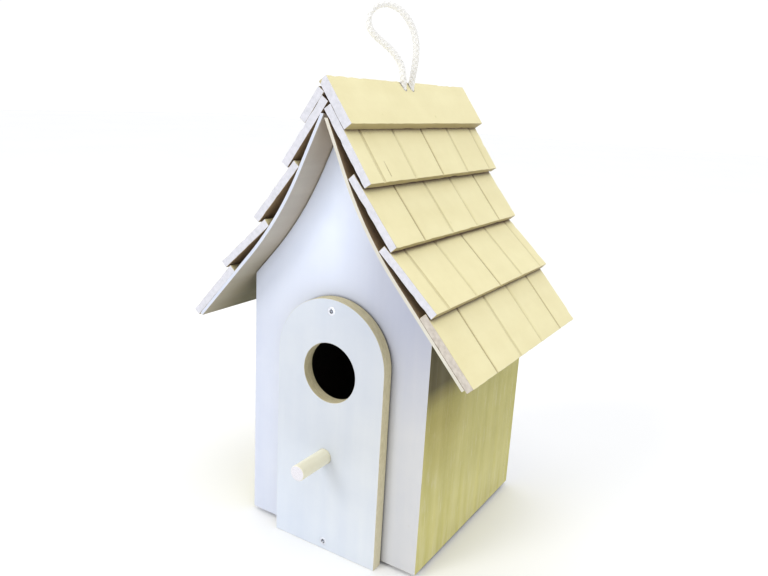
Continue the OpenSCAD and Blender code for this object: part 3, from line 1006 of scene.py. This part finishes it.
# Cross-head screws
screw = {
    "sides": 32,
    "headRadius": 2.5 * mm,
    "crossLength": 1.45 * mm,
    "crossWidth": 0.36 * mm,
    "crossDepth": 1.1 * mm,
    "profile": [(2.7, 0.1), (2.74, 0.25), (1.5, 1.42), (1.02, 1.9), (1.02, 11.4), (0.7, 12.7), (0.12, 13.9)],
    "pitch": 1.15 * mm,
    "threadFrom": 2.6 * mm,
    "threadTurns": 8,
    "threadCore": 0.9 * mm,
    "threadCrest": 1.46 * mm,
    "threadHalf": 0.3,
    "threadSteps": 20,
    "crossTaper": 0.55,
    "headHalf": 2.8 * mm,
    "turns": (24, 8),
}


def makeScrew(s):
    # Head at the origin, point along +Z, then turned to point along +Y
    bm = bmesh.new()
    rim = bmesh.ops.create_circle(bm, cap_ends=False, segments=s["sides"], radius=s["headRadius"])["verts"]
    rimEdges = list({e for v in rim for e in v.link_edges})
    long, wide = s["crossLength"], s["crossWidth"]
    outline = [(long, wide), (wide, wide), (wide, long), (-wide, long), (-wide, wide), (-long, wide),
               (-long, -wide), (-wide, -wide), (-wide, -long), (wide, -long), (wide, -wide), (long, -wide)]
    corners = [bm.verts.new((x, y, 0)) for x, y in outline]
    crossEdges = [bm.edges.new((a, b)) for a, b in zip(corners, corners[1:] + corners[:1])]
    bmesh.ops.triangle_fill(bm, use_beauty=True, edges=rimEdges + crossEdges)
    for face in [f for f in bm.faces if all(v in corners for v in f.verts)]:
        bm.faces.remove(face)
    cross = bm.faces.new(corners)
    sunk = bmesh.ops.extrude_face_region(bm, geom=[cross])["geom"]
    sunkVerts = [g for g in sunk if isinstance(g, bmesh.types.BMVert)]
    bmesh.ops.scale(bm, vec=(s["crossTaper"], s["crossTaper"], 1), verts=sunkVerts)
    bmesh.ops.translate(bm, vec=(0, 0, s["crossDepth"]), verts=sunkVerts)
    if cross.is_valid:
        bm.faces.remove(cross)
    ring = [e for e in rimEdges if e.is_valid]
    depth = 0.0
    radius = s["headRadius"]
    for nextRadius, nextDepth in s["profile"]:
        nextRadius, nextDepth = nextRadius * mm, nextDepth * mm
        made = bmesh.ops.extrude_edge_only(bm, edges=ring)["geom"]
        ring = [g for g in made if isinstance(g, bmesh.types.BMEdge)]
        verts = list({v for e in ring for v in e.verts})
        bmesh.ops.scale(bm, vec=(nextRadius / radius, nextRadius / radius, 1), verts=verts)
        bmesh.ops.translate(bm, vec=(0, 0, nextDepth - depth), verts=verts)
        radius, depth = nextRadius, nextDepth
    bmesh.ops.contextual_create(bm, geom=ring)
    # Thread: a triangular ridge wound round the shank
    half = s["threadHalf"] * s["pitch"]
    start = [bm.verts.new((x, 0, s["threadFrom"] + z)) for x, z in
             ((s["threadCore"], -half), (s["threadCrest"], 0), (s["threadCore"], half))]
    loop = [bm.edges.new((a, b)) for a, b in zip(start, start[1:] + start[:1])]
    end = bmesh.ops.spin(
        bm, geom=start + loop, cent=(0, 0, 0), axis=(0, 0, 1), dvec=(0, 0, s["pitch"] / s["threadSteps"]),
        angle=2 * math.pi * s["threadTurns"], steps=s["threadSteps"] * s["threadTurns"], use_duplicate=False,
    )["geom_last"]
    bmesh.ops.contextual_create(bm, geom=loop)
    bmesh.ops.contextual_create(bm, geom=[g for g in end if isinstance(g, bmesh.types.BMEdge)])
    bmesh.ops.recalc_face_normals(bm, faces=bm.faces)
    bmesh.ops.rotate(bm, cent=(0, 0, 0), matrix=Matrix.Rotation(math.radians(-90), 3, "X"), verts=bm.verts)
    return bm


def makeScrews(s):
    low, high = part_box("plate_screws")
    both = bmesh.new()
    for turn, z in zip(s["turns"], (low.z + s["headHalf"], high.z - s["headHalf"])):
        one = makeScrew(s)
        turning = Matrix.Rotation(math.radians(turn), 3, "Y")
        bmesh.ops.rotate(one, cent=(0, 0, 0), matrix=turning, verts=one.verts)
        bmesh.ops.translate(one, vec=((low.x + high.x) / 2, low.y, z), verts=one.verts)
        mesh = bpy.data.meshes.new("oneScrew")
        one.to_mesh(mesh)
        one.free()
        both.from_mesh(mesh)
        bpy.data.meshes.remove(mesh)
    piece = newPiece("plateScrews", both, "cover", ["plate_screws"])
    piece.data.materials.append(materials["zinc"])


makeScrews(screw)
for brads in ("wall_brads", "floor_brads", "roof_brads"):
    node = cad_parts[brads]
    node.data.materials.clear()
    node.data.materials.append(materials["zinc"])
print("screws made")


# Pale floor and soft studio light
studio = {
    "floorSize": 12,
    "floorGap": 0.1 * mm,
    "floorColours": ((0.9, 0.9, 0.9), (0.94, 0.94, 0.94)),
    "skyColour": (0.975, 0.985, 1.0),
    "skyLevel": 0.74,
    "backdrop": 1.06,
    "skyLean": (-0.12, 0.3, 0.3),
    "keyFrom": (-0.4, -0.85, 0.6),
    "keyStrength": 0.9,
    "keyWidth": 24,
    "keyColour": (1.0, 0.995, 0.98),
    "lamps": [
        # name, place, aim, width, power, colour
        ("softboxTop", (0.6, -0.4, 1.6), (0, 0, 0.15), 0.9, 6.0, (1.0, 0.99, 0.96)),
        ("softboxFront", (-0.35, -1.3, 0.22), (0, 0, 0.17), 0.5, 2.4, (0.86, 0.92, 1.0)),
    ],
}


def makeStudio(s):
    bm = bmesh.new()
    bmesh.ops.create_grid(bm, x_segments=12, y_segments=12, size=s["floorSize"] / 2)
    bmesh.ops.translate(bm, vec=(0, 0, cadLow.z - s["floorGap"]), verts=bm.verts)
    mesh = bpy.data.meshes.new("floor")
    bm.to_mesh(mesh)
    bm.free()
    floor = bpy.data.objects.new("floor", mesh)
    bpy.context.scene.collection.objects.link(floor)
    material, tree, shader, at = startMaterial("floorPaint")
    cloudy = noiseOf(tree, at, 3.0, 3.0)
    colour = blendColour(tree, cloudy, *s["floorColours"])
    rough = between(tree, cloudy, 0.0, 1.0, 0.75, 0.85)
    finishMaterial(tree, shader, colour, rough, cloudy, 0.05 * mm, 0.2)
    mesh.materials.append(material)
    world = bpy.data.worlds.new("studio")
    world.use_nodes = True
    # The light leans: brighter above and behind the house than in front of it.
    # The camera itself sees a pale backdrop, whichever way it looks.
    sky = world.node_tree
    way = addNode(sky, "ShaderNodeTexCoord").outputs["Generated"]
    lean = dotOf(sky, way, s["skyLean"])
    sky.nodes["Background"].inputs[0].default_value = (*s["skyColour"], 1)
    seen = addNode(sky, "ShaderNodeLightPath").outputs["Is Camera Ray"]
    level = calc(sky, "ADD", lean, s["skyLevel"])
    level = calc(sky, "MAXIMUM", level, calc(sky, "MULTIPLY", seen, s["backdrop"]))
    sky.links.new(level, sky.nodes["Background"].inputs[1])
    bpy.context.scene.world = world
    sun = bpy.data.lights.new("key", "SUN")
    sun.energy, sun.angle, sun.color = s["keyStrength"], math.radians(s["keyWidth"]), s["keyColour"]
    key = bpy.data.objects.new("key", sun)
    bpy.context.scene.collection.objects.link(key)
    key.rotation_euler = (-Vector(s["keyFrom"])).to_track_quat("-Z", "Y").to_euler()
    for name, place, aim, width, power, colour in s["lamps"]:
        lamp = bpy.data.lights.new(name, "AREA")
        lamp.size, lamp.energy, lamp.color = width, power, colour
        holder = bpy.data.objects.new(name, lamp)
        bpy.context.scene.collection.objects.link(holder)
        holder.location = place
        holder.rotation_euler = (Vector(aim) - Vector(place)).to_track_quat("-Z", "Y").to_euler()


makeStudio(studio)
bpy.context.scene.view_settings.view_transform = "Standard"
print("studio ready")
